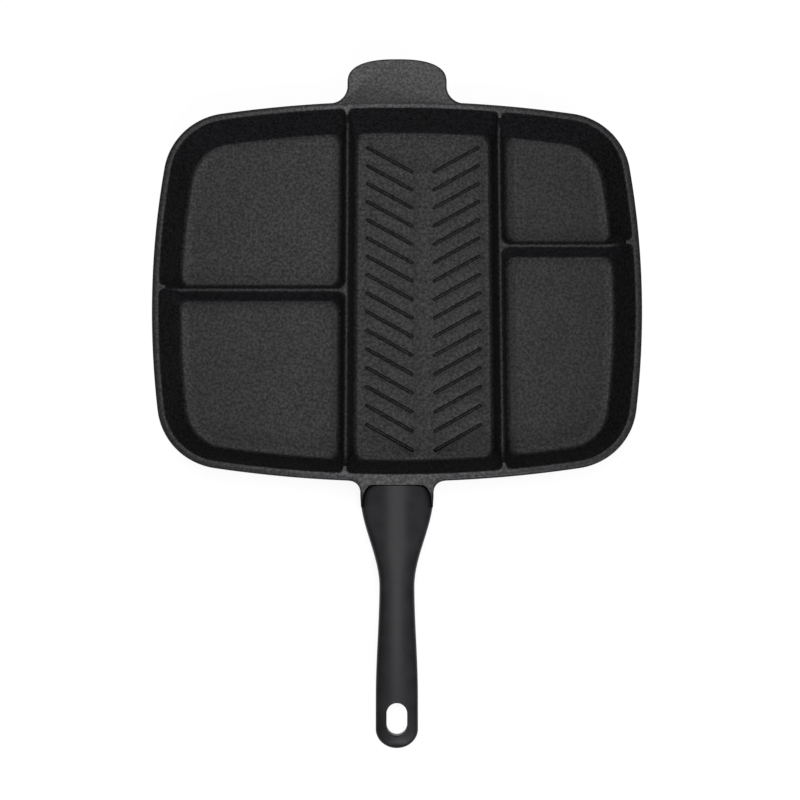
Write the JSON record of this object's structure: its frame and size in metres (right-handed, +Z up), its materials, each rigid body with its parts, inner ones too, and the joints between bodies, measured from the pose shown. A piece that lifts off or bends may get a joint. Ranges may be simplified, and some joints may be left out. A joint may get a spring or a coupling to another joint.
{
  "type": "divided frying pan",
  "caption": "Rectangular cast frying pan with round corners, low inner dividers, angled grill ribs, a helper tab at the rear and a moulded grip with a hanging slot.",
  "frame": {"origin": "centre of the flat base that the pan stands on, under the middle of the body", "axes": "+X to the right across the pan, +Y from the handle to the helper tab, +Z up out of the pockets"},
  "size_m": [0.3804, 0.5291, 0.0452],
  "materials": {
    "coated_casting": "matte non-stick coating",
    "grip_plastic": "satin",
    "screw_steel": "satin"
  },
  "bodies": {
    "root": {"pan_body": "coated_casting", "grip": "grip_plastic", "grip_screws": "screw_steel"}
  },
  "joints": []
}
